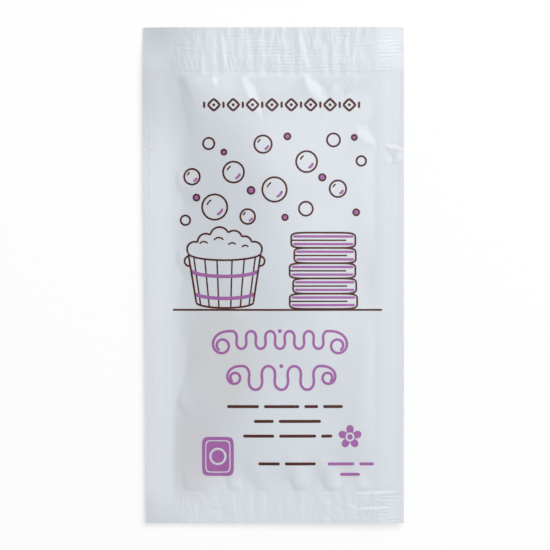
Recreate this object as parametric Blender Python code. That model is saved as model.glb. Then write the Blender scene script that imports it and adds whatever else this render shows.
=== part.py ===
"""A single-dose laundry liquid sachet, lying on its back as it rests on a table.

Two webs of white laminated film are welded together round all four sides and hold 10 ml of liquid.
The pack is one closed solid: a low belly inside four flat welded bands, with the folds that the film
gathers into along the bands, and a tear slit in each long side.

The frame is in metres with +Z up. X runs across the pack, Y from its foot to its head, and the
origin is on the table under the middle of the pack.
"""

from collections import namedtuple

import bmesh
import bpy
import numpy as np

MM = 0.001

# Outline and welded bands
WIDTH = 60.0 * MM
LENGTH = 114.0 * MM
LEFT_BAND = 7.2 * MM
RIGHT_BAND = 6.2 * MM
HEAD_BAND = 10.5 * MM
FOOT_BAND = 7.2 * MM
FOOT_INSET = 0.7 * MM  # how far the left edge has drawn in by the foot
WELD_THICKNESS = 0.24 * MM  # two webs of 0.12 mm laminate

# Height of the bands' underside over the table, and how their outer edges bend
LEFT_LIFT = 1.0 * MM
RIGHT_LIFT = 2.2 * MM
LEFT_CURL = 0.35 * MM
RIGHT_DROOP = 0.25 * MM
HEAD_DROOP = 0.35 * MM
FOOT_CURL = 0.15 * MM
CORNER_DROOP = 0.7 * MM
CORNER_REACH = 7.0 * MM

# The belly: how high the liquid crowns over the bands, and how far from each band it levels out
CROWN_HEIGHT = 2.8 * MM
HEM_RADIUS = 3.0 * MM  # the hollow bend where the belly starts to rise out of a band
CREST_FROM_LEFT = 21.0 * MM
HEAD_RUN = 26.0 * MM
FOOT_RUN = 46.0 * MM
ROUNDNESS = 1.8  # the power of the crown's curve: 1 is a wedge, and more is flatter on top
BASE_SHARE = 0.34  # the share of the full depth at which the underside meets the table

# Gathers pressed into the head and foot bands. Each wave has a pitch ratio, a share and a phase.
HEAD_GATHER = 0.022 * MM
FOOT_GATHER = 0.014 * MM
GATHER_PITCH = 3.4 * MM
GATHER_DRIFT = 17.0 * MM  # the distance over which the waves wander
GATHER_WAVES = ((0.62, 0.8, 0.4), (1.0, 1.0, 2.1), (1.37, 0.75, 4.0), (1.93, 0.45, 5.3))

# Folds and slow swells of the front web
FOLD_BREADTH = 1.3 * MM
FOLD_SLOPE = 0.30
FOLD_FADE = 2.2
CREASE_START = 1.2 * MM  # the distance from a band over which the creases set in
DIMPLE_START = 3.0 * MM
SWELL_HEIGHT = 0.07 * MM
SWELL_LENGTH = 31.0 * MM

# Tear slits in the two long sides
SLIT_FROM_HEAD = 28.1 * MM
SLIT_LENGTH = 2.5 * MM
SLIT_GAP = 0.2 * MM

# Cells of the mesh over each band and over the belly
BAND_COLUMNS = 5
BELLY_COLUMNS = 58
HEAD_ROWS = 5
FOOT_ROWS = 5
BELLY_ROWS = 40
ROW_CROWDING = 0.6  # 0 spaces the belly's rows evenly, 1 crowds them fully towards the bands

FILM_COLOUR = (0.68, 0.72, 0.77, 1.0)
FILM_ROUGHNESS = 0.3

# Where the belly's edges run
BELLY_LEFT = -WIDTH / 2 + LEFT_BAND
BELLY_RIGHT = WIDTH / 2 - RIGHT_BAND
BELLY_FOOT = -LENGTH / 2 + FOOT_BAND
BELLY_HEAD = LENGTH / 2 - HEAD_BAND
MIDDLE_X = (BELLY_LEFT + BELLY_RIGHT) / 2
MIDDLE_Y = (BELLY_FOOT + BELLY_HEAD) / 2
HALF_X = (BELLY_RIGHT - BELLY_LEFT) / 2
HALF_Y = (BELLY_HEAD - BELLY_FOOT) / 2

# start and end: places as shares of the belly's half width and half length from its middle.
# breadth: half the steep flank's width, in FOLD_BREADTHs. tilt: the flank's slope, in FOLD_SLOPEs, and it
# faces left of the way from start to end where tilt is positive.
# widest: the share of the way at which the flank is widest.
Fold = namedtuple("Fold", "start end breadth tilt widest", defaults=(0.5,))

CREASES = (
    Fold((-0.944, 1.001), (-0.758, 0.767), 0.75, -0.70, 0.45),
    Fold((-0.613, 1.001), (-0.578, 0.934), 0.50, 0.80),
    Fold((-0.316, 1.001), (-0.124, 0.776), 0.82, 0.66, 0.36),
    Fold((0.293, 1.001), (0.510, 0.853), 1.20, 0.68, 0.50),
    Fold((0.441, 0.906), (0.590, 0.953), 0.50, 0.80),
    Fold((0.857, 0.996), (0.698, 0.882), 0.28, 2.40),
    Fold((0.797, 0.738), (1.025, 0.666), 1.05, 0.66),
    Fold((-0.914, -1.028), (-0.939, -0.880), 0.50, 0.45),
    Fold((-0.474, -1.028), (-0.499, -0.923), 0.45, 0.60),
    Fold((0.177, -1.028), (0.142, -0.918), 0.50, 0.60),
    Fold((0.497, -1.028), (0.452, -0.918), 0.50, 0.55),
)
DIMPLES = (
    Fold((-0.924, 1.035), (-0.611, 0.594), 1.80, -0.68, 0.45),
    Fold((0.699, 0.886), (0.392, 0.743), 0.50, 0.60),
    Fold((-1.050, 0.475), (-0.700, 0.370), 1.60, -0.62, 0.36),
    Fold((-1.050, 0.115), (-0.700, -0.010), 1.60, -0.66, 0.36),
    Fold((-1.050, -0.600), (-0.640, -0.180), 2.20, 0.42, 0.45),
    Fold((-0.469, -0.109), (-0.132, 0.034), 2.60, -0.20),
    Fold((-0.934, -1.052), (-0.975, -0.540), 2.40, 0.66, 0.36),
    Fold((-0.464, -1.043), (-0.548, -0.813), 1.30, 0.55, 0.40),
    Fold((-0.169, -1.043), (-0.298, -0.842), 1.40, 0.48, 0.42),
    Fold((0.182, -1.043), (0.082, -0.803), 1.60, 0.58, 0.40),
    Fold((0.512, -1.043), (0.372, -0.813), 1.60, 0.58, 0.40),
    Fold((0.822, -1.043), (0.692, -0.861), 1.30, 0.48, 0.42),
)
BAND_CREASES = (
    Fold((-0.538, 1.230), (-0.479, 1.001), 0.35, 0.60),
    Fold((0.234, 1.210), (0.333, 1.001), 0.40, 0.50),
    Fold((0.897, -1.005), (1.233, -0.995), 0.30, 0.80),
    Fold((0.798, -1.086), (1.154, -1.067), 0.45, 0.70),
    Fold((1.075, 0.647), (1.263, 0.599), 0.55, 0.60),
)


def smooth(share):
    """0 up to 0, 1 from 1, and 3s^2 - 2s^3 between them."""
    share = np.clip(share, 0.0, 1.0)
    return share * share * (3 - 2 * share)


def creased(distance):
    """Section of a sharp fold: a straight steep flank out to 1, then back to level as exp(-distance)."""
    return np.where(distance < 1, distance, np.exp(-(distance - 1) / FOLD_FADE))


def dimpled(distance):
    """Section of a soft fold: d exp((1 - d^2) / 2), steepest in the middle and level at 1."""
    return distance * np.exp((1 - distance**2) / 2)


def fold_relief(folds, section, fading, x, y):
    """Sum of leaf-shaped folds. Across a leaf, height falls as its section says, in half widths. The half
    width is breadth times (4 t (1 - t))^0.7, where t is the share of the way, warped to be 0.5 at widest.
    Along it the slope loses the share fading by its end."""
    relief = np.zeros_like(x + y)
    for fold in folds:
        start_x, start_y = MIDDLE_X + fold.start[0] * HALF_X, MIDDLE_Y + fold.start[1] * HALF_Y
        run_x = (fold.end[0] - fold.start[0]) * HALF_X
        run_y = (fold.end[1] - fold.start[1]) * HALF_Y
        length = np.hypot(run_x, run_y)
        along = ((x - start_x) * run_x + (y - start_y) * run_y) / length**2
        across = ((y - start_y) * run_x - (x - start_x) * run_y) / length
        warped = np.clip(along, 0, 1) ** (np.log(0.5) / np.log(fold.widest))
        half = fold.breadth * FOLD_BREADTH * (4 * warped * (1 - warped)) ** 0.7 + 1e-9
        slope = fold.tilt * FOLD_SLOPE * (1 - fading * np.clip(along, 0, 1))
        relief -= slope * half * np.sign(across) * section(np.abs(across) / half)
    return relief


def rise(distance, run):
    """0 at the band, 1 from run inwards: a soft start over the hem, then a parabola that levels out."""
    soft = np.sqrt(np.clip(distance, 0, None) ** 2 + HEM_RADIUS**2) - HEM_RADIUS
    full = np.sqrt(run**2 + HEM_RADIUS**2) - HEM_RADIUS
    return 1 - (1 - np.clip(soft / full, 0, 1)) ** ROUNDNESS


def filling(x, y):
    """Share of the full depth of liquid at a point: 0 on the bands and 1 along the crest."""
    across = rise(x - BELLY_LEFT, CREST_FROM_LEFT) * rise(BELLY_RIGHT - x, 2 * HALF_X - CREST_FROM_LEFT)
    return across * rise(y - BELLY_FOOT, FOOT_RUN) * rise(BELLY_HEAD - y, HEAD_RUN)


def gathers(x, y):
    """Crinkles across the head and foot bands: sines of x of several pitches, whose phases drift with y."""
    wave = np.zeros_like(x + y)
    for ratio, share, phase in GATHER_WAVES:
        drift = 0.9 * np.sin(2 * np.pi * (y / GATHER_DRIFT + ratio)) + np.sin(2 * np.pi * x / GATHER_DRIFT)
        wave += share * np.sin(2 * np.pi * ratio * x / GATHER_PITCH + phase + drift)
    between = smooth((x - BELLY_LEFT) / LEFT_BAND) * smooth((BELLY_RIGHT - x) / RIGHT_BAND)
    head = HEAD_GATHER * smooth((y - BELLY_HEAD + FOLD_BREADTH) / FOLD_BREADTH)
    foot = FOOT_GATHER * smooth((BELLY_FOOT + FOLD_BREADTH - y) / FOLD_BREADTH)
    return wave * between * (head + foot)


def band_plane(x, y):
    """Height of the welded bands' underside, carried on under the belly: a plane that climbs to the right,
    with the left and foot bands curling up and the right and head bands and their corners drooping."""
    lift = LEFT_LIFT + (RIGHT_LIFT - LEFT_LIFT) * (x + WIDTH / 2) / WIDTH
    left = smooth((BELLY_LEFT - x) / LEFT_BAND)
    right = smooth((x - BELLY_RIGHT) / RIGHT_BAND)
    foot = smooth((BELLY_FOOT - y) / FOOT_BAND)
    head = smooth((y - BELLY_HEAD) / HEAD_BAND)
    corner = smooth((np.abs(x) - WIDTH / 2 + CORNER_REACH) / CORNER_REACH) * head
    curled = lift + LEFT_CURL * left + FOOT_CURL * foot
    return curled - RIGHT_DROOP * right - HEAD_DROOP * head - CORNER_DROOP * corner


def underside(x, y):
    """Height of the back web: on the table under the belly, and the bands' height at the bands."""
    off_table = 1 - smooth(filling(x, y) / BASE_SHARE)
    return (band_plane(x, y) + gathers(x, y) + fold_relief(BAND_CREASES, creased, 0.0, x, y)) * off_table


def inside(x, y, start):
    """0 on the bands and 1 further than start from all of them: a product of smooth steps."""
    across = smooth((x - BELLY_LEFT) / start) * smooth((BELLY_RIGHT - x) / start)
    return across * smooth((y - BELLY_FOOT) / start) * smooth((BELLY_HEAD - y) / start)


def front_relief(x, y):
    """Height that the folds and the slow swells add to the front web over the belly."""
    swell = SWELL_HEIGHT * np.sin(2 * np.pi * (x + 0.6 * y) / SWELL_LENGTH)
    swell += 0.7 * SWELL_HEIGHT * np.sin(2 * np.pi * (y - 0.4 * x) / (0.8 * SWELL_LENGTH) + 0.9)
    sharp = fold_relief(CREASES, creased, 0.3, x, y) * inside(x, y, CREASE_START)
    soft = fold_relief(DIMPLES, dimpled, 0.9, x, y) * inside(x, y, DIMPLE_START)
    return sharp + soft + swell * inside(x, y, DIMPLE_START)


def topside(x, y):
    """Height of the front web: the bands' height and the film, with the crown of liquid and its folds on
    top, which never press below the bands."""
    bands = band_plane(x, y) + gathers(x, y) + fold_relief(BAND_CREASES, creased, 0.0, x, y)
    crown = CROWN_HEIGHT * filling(x, y) + front_relief(x, y)
    return bands + WELD_THICKNESS + np.maximum(crown, 0.0)


def drawn_in(x, y):
    """X of a point once the left edge has drawn in towards the foot."""
    towards_foot = smooth((LENGTH / 2 - y) / LENGTH)
    towards_left = np.clip((WIDTH / 2 - x) / WIDTH, 0, 1)
    return x + FOOT_INSET * towards_foot * towards_left


def remove_old_objects():
    for old in list(bpy.data.objects):
        bpy.data.objects.remove(old)


def stations(low, belly_low, belly_high, high, band_cells, belly_cells, crowding):
    """Grid lines across one band, the belly and the other band, crowded where the folds start."""
    even = np.linspace(-1, 1, belly_cells + 1)
    share = (1 - crowding) * even + crowding * np.sin(even * np.pi / 2)
    belly = belly_low + (belly_high - belly_low) * (share + 1) / 2
    before = np.linspace(low, belly_low, band_cells[0] + 1)[:-1]
    after = np.linspace(belly_high, high, band_cells[1] + 1)[1:]
    return np.concatenate([before, belly, after])


def film_material():
    material = bpy.data.materials.new("white_film")
    material.use_nodes = True
    shader = material.node_tree.nodes["Principled BSDF"]
    shader.inputs["Base Color"].default_value = FILM_COLOUR
    shader.inputs["Roughness"].default_value = FILM_ROUGHNESS
    shader.inputs["Metallic"].default_value = 0.0
    return material


def sachet_mesh():
    """A flat grid, raised into two webs that share their cut edge, then shaped by the functions above."""
    side_bands = (BAND_COLUMNS, BAND_COLUMNS)
    end_bands = (FOOT_ROWS, HEAD_ROWS)
    columns = stations(-WIDTH / 2, BELLY_LEFT, BELLY_RIGHT, WIDTH / 2, side_bands, BELLY_COLUMNS, 0.0)
    rows = stations(-LENGTH / 2, BELLY_FOOT, BELLY_HEAD, LENGTH / 2, end_bands, BELLY_ROWS, ROW_CROWDING)
    shape = bmesh.new()
    grid = bmesh.ops.create_grid(shape, x_segments=len(columns) - 1, y_segments=len(rows) - 1, size=0.5)
    for vertex in grid["verts"]:
        column = round((vertex.co.x + 0.5) * (len(columns) - 1))
        row = round((vertex.co.y + 0.5) * (len(rows) - 1))
        vertex.co = (columns[column], rows[row], 0.0)
    raised = bmesh.ops.extrude_face_region(shape, geom=shape.faces[:])
    front = {item for item in raised["geom"] if isinstance(item, bmesh.types.BMVert)}
    for web, height in (
        ([vertex for vertex in shape.verts if vertex in front], topside),
        ([vertex for vertex in shape.verts if vertex not in front], underside),
    ):
        x, y, _ = np.array([vertex.co for vertex in web]).T
        for vertex, place in zip(web, np.stack([drawn_in(x, y), y, height(x, y)], axis=1)):
            vertex.co = place
    bmesh.ops.recalc_face_normals(shape, faces=shape.faces[:])
    mesh = bpy.data.meshes.new("sachet")
    shape.to_mesh(mesh)
    shape.free()
    return mesh


def cut_slit(sachet, cutters, name, edge_x, inwards):
    """Cuts a tear slit into one long side. inwards is 1 from the left edge and -1 from the right."""
    overshoot = SLIT_LENGTH
    bpy.ops.mesh.primitive_cube_add(size=1.0)
    cutter = bpy.context.object
    cutter.name = name
    cutter.dimensions = (SLIT_LENGTH + overshoot, SLIT_GAP, 4 * CROWN_HEIGHT)
    cutter.location = (
        edge_x + inwards * (SLIT_LENGTH - overshoot) / 2,
        LENGTH / 2 - SLIT_FROM_HEAD,
        0.0,
    )
    for collection in cutter.users_collection:
        collection.objects.unlink(cutter)
    cutters.objects.link(cutter)
    cutter.hide_render = True
    cutter.display_type = "WIRE"
    cut = sachet.modifiers.new(name, "BOOLEAN")
    cut.operation = "DIFFERENCE"
    cut.object = cutter


def build():
    remove_old_objects()
    parts = bpy.data.collections.new("laundry_sachet")
    cutters = bpy.data.collections.new("cutters")
    bpy.context.scene.collection.children.link(parts)
    bpy.context.scene.collection.children.link(cutters)
    sachet = bpy.data.objects.new("sachet", sachet_mesh())
    sachet.data.materials.append(film_material())
    sachet.data.shade_smooth()
    parts.objects.link(sachet)
    slit_y = np.array(LENGTH / 2 - SLIT_FROM_HEAD)
    left_edge = float(drawn_in(np.array(-WIDTH / 2), slit_y))
    cut_slit(sachet, cutters, "left_slit", left_edge, 1)
    cut_slit(sachet, cutters, "right_slit", WIDTH / 2, -1)


build()
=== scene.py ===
# %% [markdown]
# A laundry liquid sachet, step by step
#
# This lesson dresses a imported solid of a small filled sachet. The solid already has the right size and the
# main folds. What it lacks is what the eye reads as film: welded bands with a fine knurl, sharp creases, a
# gloss that breaks up over them, and ink. Each step below says what the real thing is like, how it could be
# made, and why it is made this way.

from collections import namedtuple

import bpy
import numpy as np
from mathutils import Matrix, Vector


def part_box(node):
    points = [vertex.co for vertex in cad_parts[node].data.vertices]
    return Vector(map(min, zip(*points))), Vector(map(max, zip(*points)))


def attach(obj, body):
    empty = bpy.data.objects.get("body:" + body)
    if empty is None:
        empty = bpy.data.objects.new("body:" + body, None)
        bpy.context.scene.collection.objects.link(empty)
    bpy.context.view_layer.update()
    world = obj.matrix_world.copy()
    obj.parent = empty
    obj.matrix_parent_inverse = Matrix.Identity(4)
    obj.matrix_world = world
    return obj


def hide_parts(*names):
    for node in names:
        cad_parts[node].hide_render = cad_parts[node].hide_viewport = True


MM = 0.001

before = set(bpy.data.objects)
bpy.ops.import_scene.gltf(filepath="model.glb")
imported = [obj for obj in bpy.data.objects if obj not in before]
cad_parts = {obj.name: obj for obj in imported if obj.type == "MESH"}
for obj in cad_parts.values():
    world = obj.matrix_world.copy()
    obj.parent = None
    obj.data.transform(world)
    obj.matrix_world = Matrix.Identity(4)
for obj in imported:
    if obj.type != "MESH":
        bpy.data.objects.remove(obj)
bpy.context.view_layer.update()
low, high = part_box("sachet")
WIDTH = high.x - low.x
LENGTH = high.y - low.y
print(f"the solid is {WIDTH / MM:.1f} x {LENGTH / MM:.1f} x {(high.z - low.z) / MM:.2f} mm")

# %% [markdown]
# The form of the pack
#
# Two webs of film are welded round their edge and hold 10 ml between them. A cloth simulation could blow up
# such a pillow, but it would never put the folds where this pack has them. A height over the plane says all
# that shows, so each web is a function of x and y, and numpy works it out for a whole grid at once. It all
# starts from the widths of the four welded bands, which leave the belly between them.

# %% Where the bands end and the belly begins
LEFT_BAND = 7.2 * MM
RIGHT_BAND = 6.2 * MM
HEAD_BAND = 10.5 * MM
FOOT_BAND = 7.2 * MM

BELLY_LEFT = -WIDTH / 2 + LEFT_BAND
BELLY_RIGHT = WIDTH / 2 - RIGHT_BAND
BELLY_FOOT = -LENGTH / 2 + FOOT_BAND
BELLY_HEAD = LENGTH / 2 - HEAD_BAND
MIDDLE_X = (BELLY_LEFT + BELLY_RIGHT) / 2
MIDDLE_Y = (BELLY_FOOT + BELLY_HEAD) / 2
HALF_X = (BELLY_RIGHT - BELLY_LEFT) / 2
HALF_Y = (BELLY_HEAD - BELLY_FOOT) / 2


def smooth(share):
    """0 up to 0, 1 from 1, and 3s^2 - 2s^3 between them."""
    share = np.clip(share, 0.0, 1.0)
    return share * share * (3 - 2 * share)


def inside(x, y, start):
    """0 on the bands and 1 further than start from all of them: a product of smooth steps."""
    across = smooth((x - BELLY_LEFT) / start) * smooth((BELLY_RIGHT - x) / start)
    return across * smooth((y - BELLY_FOOT) / start) * smooth((BELLY_HEAD - y) / start)


print(f"the belly is {2 * HALF_X / MM:.1f} x {2 * HALF_Y / MM:.1f} mm")

# %% [markdown]
# The welded bands
#
# Two welded webs are stiff, so the bands keep close to one plane. The liquid lifts that plane off the table,
# more on the right than on the left, and the free edges curl a little. Hot jaws gather the head and the foot,
# and a few sines across them, out of step with each other, give such gathers without a pattern.

# %% The bands
WELD_THICKNESS = 0.24 * MM
LEFT_LIFT = 1.0 * MM
RIGHT_LIFT = 2.2 * MM
LEFT_CURL = 0.35 * MM
RIGHT_DROOP = 0.25 * MM
HEAD_DROOP = 0.35 * MM
FOOT_CURL = 0.15 * MM
CORNER_DROOP = 0.7 * MM
CORNER_REACH = 7.0 * MM

HEAD_GATHER = 0.022 * MM
FOOT_GATHER = 0.014 * MM
GATHER_START = 1.3 * MM
GATHER_PITCH = 3.4 * MM
GATHER_DRIFT = 17.0 * MM
DRIFT_ALONG = 0.9
# Each wave's frequency as a ratio, its share of the height, and its phase
GATHER_WAVES = ((0.62, 0.8, 0.4), (1.0, 1.0, 2.1), (1.37, 0.75, 4.0), (1.93, 0.45, 5.3))


def gathers(x, y):
    """Crinkles across the head and foot bands: sines of x of several pitches, whose phases drift with y."""
    wave = np.zeros_like(x + y)
    for ratio, share, phase in GATHER_WAVES:
        drift = DRIFT_ALONG * np.sin(2 * np.pi * (y / GATHER_DRIFT + ratio))
        drift = drift + np.sin(2 * np.pi * x / GATHER_DRIFT)
        wave += share * np.sin(2 * np.pi * ratio * x / GATHER_PITCH + phase + drift)
    off_sides = smooth((x - BELLY_LEFT) / LEFT_BAND) * smooth((BELLY_RIGHT - x) / RIGHT_BAND)
    head = HEAD_GATHER * smooth((y - BELLY_HEAD + GATHER_START) / GATHER_START)
    foot = FOOT_GATHER * smooth((BELLY_FOOT + GATHER_START - y) / GATHER_START)
    return wave * off_sides * (head + foot)


def band_plane(x, y):
    """Height of the welded bands' underside, carried on under the belly: a plane that climbs to the right,
    with the left and foot bands curling up and the right and head bands and their corners drooping."""
    lift = LEFT_LIFT + (RIGHT_LIFT - LEFT_LIFT) * (x + WIDTH / 2) / WIDTH
    left = smooth((BELLY_LEFT - x) / LEFT_BAND)
    right = smooth((x - BELLY_RIGHT) / RIGHT_BAND)
    foot = smooth((BELLY_FOOT - y) / FOOT_BAND)
    head = smooth((y - BELLY_HEAD) / HEAD_BAND)
    corner = smooth((np.abs(x) - WIDTH / 2 + CORNER_REACH) / CORNER_REACH) * head
    curled = lift + LEFT_CURL * left + FOOT_CURL * foot
    return curled - RIGHT_DROOP * right - HEAD_DROOP * head - CORNER_DROOP * corner


for side, edge_x in (("left", -WIDTH / 2), ("right", WIDTH / 2)):
    print(f"the {side} edge is {band_plane(edge_x, 0.0) / MM:.2f} mm off the table")

# %% [markdown]
# Folds
#
# A fold in film is a long leaf: it starts in a point at a band, widens and runs out. Across it the film falls
# along one steep flank, and then it comes back to level. These folds can't come from a rule, because they are
# what one looks for on this pack, so a list places them one by one, and one function adds them all up.

# %% The folds, one by one
FOLD_BREADTH = 1.3 * MM
FOLD_SLOPE = 0.30
FOLD_FADE = 2.2
LEAF_ROUNDNESS = 0.7
LEAF_TIP = 1e-9  # half width at a leaf's tips in metres, which is not quite zero

# start and end: places as shares of the belly's half width and half length from its middle.
# breadth: half the steep flank's width, in FOLD_BREADTHs. tilt: the flank's slope, in FOLD_SLOPEs, and it
# faces left of the way from start to end where tilt is positive.
# widest: the share of the way at which the flank is widest.
Fold = namedtuple("Fold", "start end breadth tilt widest", defaults=(0.5,))

CREASES = (
    Fold((-0.944, 1.001), (-0.798, 0.827), 0.42, -0.60, 0.45),
    Fold((-0.613, 1.001), (-0.578, 0.934), 0.50, 0.80),
    Fold((-0.316, 1.001), (-0.124, 0.776), 0.82, 0.66, 0.36),
    Fold((0.293, 1.001), (0.510, 0.853), 1.20, 0.68, 0.50),
    Fold((0.441, 0.906), (0.590, 0.953), 0.50, 0.80),
    Fold((0.857, 0.996), (0.698, 0.882), 0.28, 2.40),
    Fold((0.797, 0.738), (1.025, 0.666), 1.05, 0.66),
    Fold((-0.914, -1.028), (-0.939, -0.880), 0.50, 0.45),
    Fold((-0.474, -1.028), (-0.499, -0.923), 0.45, 0.60),
    Fold((0.177, -1.028), (0.142, -0.918), 0.50, 0.60),
    Fold((0.497, -1.028), (0.452, -0.918), 0.50, 0.55),
)
DIMPLES = (
    Fold((0.699, 0.886), (0.392, 0.743), 0.50, 0.60),
    Fold((-1.080, 0.475), (-0.730, 0.370), 1.60, -0.62, 0.36),
    Fold((-1.080, 0.115), (-0.730, -0.010), 1.60, -0.66, 0.36),
    Fold((-1.050, -0.600), (-0.640, -0.180), 2.20, 0.42, 0.45),
    Fold((-1.030, -0.590), (-0.820, -0.655), 1.10, -0.50, 0.32),
    Fold((-0.469, -0.109), (-0.132, 0.034), 2.60, -0.20),
    Fold((-0.954, -1.052), (-0.985, -0.500), 2.80, 0.20, 0.36),
    Fold((-0.464, -1.043), (-0.548, -0.813), 1.30, 0.55, 0.40),
    Fold((-0.169, -1.043), (-0.298, -0.842), 1.40, 0.48, 0.42),
    Fold((0.182, -1.043), (0.082, -0.803), 1.60, 0.58, 0.40),
    Fold((0.512, -1.043), (0.372, -0.813), 1.60, 0.58, 0.40),
    Fold((0.822, -1.043), (0.692, -0.861), 1.30, 0.48, 0.42),
)
BAND_CREASES = (
    Fold((-0.538, 1.230), (-0.479, 1.001), 0.35, 0.60),
    Fold((0.234, 1.210), (0.333, 1.001), 0.40, 0.50),
    Fold((0.760, -1.010), (1.233, -0.998), 0.20, 1.10),
    Fold((0.780, -1.084), (1.134, -1.072), 0.26, 1.00),
    Fold((1.085, 0.655), (1.258, 0.638), 0.34, 0.60),
    Fold((1.212, 0.622), (1.143, 0.570), 0.36, -0.85),
)


def creased(distance):
    """Section of a sharp fold: a straight steep flank out to 1, then back to level as exp(-distance)."""
    return np.where(distance < 1, distance, np.exp(-(distance - 1) / FOLD_FADE))


def dimpled(distance):
    """Section of a soft fold: d exp((1 - d^2) / 2), steepest in the middle and level at 1."""
    return distance * np.exp((1 - distance**2) / 2)


def fold_relief(folds, section, fading, x, y):
    """Sum of leaf-shaped folds. Across a leaf, height falls as its section says, in half widths. The half
    width is breadth times (4 t (1 - t))^0.7, where t is the share of the way, warped to be 0.5 at widest.
    Along it the slope loses the share fading by its end."""
    relief = np.zeros_like(x + y)
    for fold in folds:
        start_x, start_y = MIDDLE_X + fold.start[0] * HALF_X, MIDDLE_Y + fold.start[1] * HALF_Y
        run_x = (fold.end[0] - fold.start[0]) * HALF_X
        run_y = (fold.end[1] - fold.start[1]) * HALF_Y
        length = np.hypot(run_x, run_y)
        along = ((x - start_x) * run_x + (y - start_y) * run_y) / length**2
        across = ((y - start_y) * run_x - (x - start_x) * run_y) / length
        warped = np.clip(along, 0, 1) ** (np.log(0.5) / np.log(fold.widest))
        half = fold.breadth * FOLD_BREADTH * (4 * warped * (1 - warped)) ** LEAF_ROUNDNESS + LEAF_TIP
        slope = fold.tilt * FOLD_SLOPE * (1 - fading * np.clip(along, 0, 1))
        relief -= slope * half * np.sign(across) * section(np.abs(across) / half)
    return relief


print(f"{len(CREASES) + len(DIMPLES)} folds on the belly and {len(BAND_CREASES)} on the bands")

# %% [markdown]
# The filled belly
#
# The liquid is deepest along a crest left of the middle. From each band its depth rises softly over the hem
# and then levels out like a parabola, and the product of four such rises is a pillow with full corners. Under
# it the back web lies flat on the table, and beside it both webs go over into the bands.

# %% The two webs
CROWN_HEIGHT = 2.8 * MM
HEM_RADIUS = 3.0 * MM
CREST_FROM_LEFT = 21.0 * MM
HEAD_RUN = 26.0 * MM
FOOT_RUN = 46.0 * MM
ROUNDNESS = 1.8
BASE_SHARE = 0.34
FOOT_INSET = 0.7 * MM

CREASE_START = 1.2 * MM
CREASE_FADING = 0.3
DIMPLE_START = 1.1 * MM
DIMPLE_FADING = 0.9
SWELL_HEIGHT = 0.07 * MM
SWELL_LENGTH = 31.0 * MM
SWELL_START = 3.0 * MM
# Each slow swell's share of the height, its run along x and along y, its share of the length, and its phase
SWELLS = ((1.0, 1.0, 0.6, 1.0, 0.0), (0.7, -0.4, 1.0, 0.8, 0.9))


def rise(distance, run):
    """0 at the band, 1 from run inwards: a soft start over the hem, then a parabola that levels out."""
    soft = np.sqrt(np.clip(distance, 0, None) ** 2 + HEM_RADIUS**2) - HEM_RADIUS
    full = np.sqrt(run**2 + HEM_RADIUS**2) - HEM_RADIUS
    return 1 - (1 - np.clip(soft / full, 0, 1)) ** ROUNDNESS


def filling(x, y):
    """Share of the full depth of liquid at a point: 0 on the bands and 1 along the crest."""
    across = rise(x - BELLY_LEFT, CREST_FROM_LEFT) * rise(BELLY_RIGHT - x, 2 * HALF_X - CREST_FROM_LEFT)
    return across * rise(y - BELLY_FOOT, FOOT_RUN) * rise(BELLY_HEAD - y, HEAD_RUN)


def off_table(x, y):
    """1 where the back web hangs free and 0 where the liquid presses it on the table."""
    return 1 - smooth(filling(x, y) / BASE_SHARE)


def band_height(x, y):
    """Height of the bands' underside with its gathers and creases."""
    return band_plane(x, y) + gathers(x, y) + fold_relief(BAND_CREASES, creased, 0.0, x, y)


def swells(x, y):
    """Slow waves of the front web: sines of slanting distances."""
    total = np.zeros_like(x + y)
    for share, along_x, along_y, stretch, phase in SWELLS:
        run = (along_x * x + along_y * y) / (stretch * SWELL_LENGTH)
        total += share * SWELL_HEIGHT * np.sin(2 * np.pi * run + phase)
    return total * inside(x, y, SWELL_START)


def topside(x, y):
    """Height of the front web: the bands' height and the film, with the crown of liquid, its folds and its
    swells on top, which never press below the bands."""
    sharp = fold_relief(CREASES, creased, CREASE_FADING, x, y) * inside(x, y, CREASE_START)
    soft = fold_relief(DIMPLES, dimpled, DIMPLE_FADING, x, y) * inside(x, y, DIMPLE_START)
    crown = CROWN_HEIGHT * filling(x, y) + sharp + soft + swells(x, y)
    return band_height(x, y) + WELD_THICKNESS + np.maximum(crown, 0.0)


def drawn_in(x, y):
    """X of a point once the left edge has drawn in towards the foot."""
    towards_foot = smooth((LENGTH / 2 - y) / LENGTH)
    towards_left = np.clip((WIDTH / 2 - x) / WIDTH, 0, 1)
    return x + FOOT_INSET * towards_foot * towards_left


crest_height = float(topside(BELLY_LEFT + CREST_FROM_LEFT, MIDDLE_Y))
print(f"the front web is {crest_height / MM:.2f} mm over the table at the middle of its crest")

# %% [markdown]
# A random field that is smooth
#
# Crinkles, worn places and wrinkles are random and yet smooth, which a lattice of random values with smooth
# blending between them gives. A seed fixes each field, so that the pack comes out the same every time.

# %% Patches
LATTICE = 64

# A random share or height in patches: their size along x and y, a seed, the mean, the swing about it, and
# the least and the most that it may be.
Patches = namedtuple("Patches", "size seed mean swing least most", defaults=(0.0, 1.0, -np.inf, np.inf))


def noise(x, y, seed):
    """A field from -1 to 1: random values on a unit lattice, blended by 3s^2 - 2s^3 along x, then along y."""
    value = np.random.default_rng(seed).uniform(-1, 1, (LATTICE, LATTICE))
    column, row = np.floor(x).astype(int), np.floor(y).astype(int)
    to_right, to_top = smooth(x - column), smooth(y - row)
    left, right = column % LATTICE, (column + 1) % LATTICE
    lower, upper = row % LATTICE, (row + 1) % LATTICE
    below = value[lower, left] * (1 - to_right) + value[lower, right] * to_right
    above = value[upper, left] * (1 - to_right) + value[upper, right] * to_right
    return below * (1 - to_top) + above * to_top


def patchy(x, y, patches):
    """mean + swing * noise, kept between the least and the most."""
    field = noise(x / patches.size[0], y / patches.size[1], patches.seed)
    return np.clip(patches.mean + patches.swing * field, patches.least, patches.most)


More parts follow.
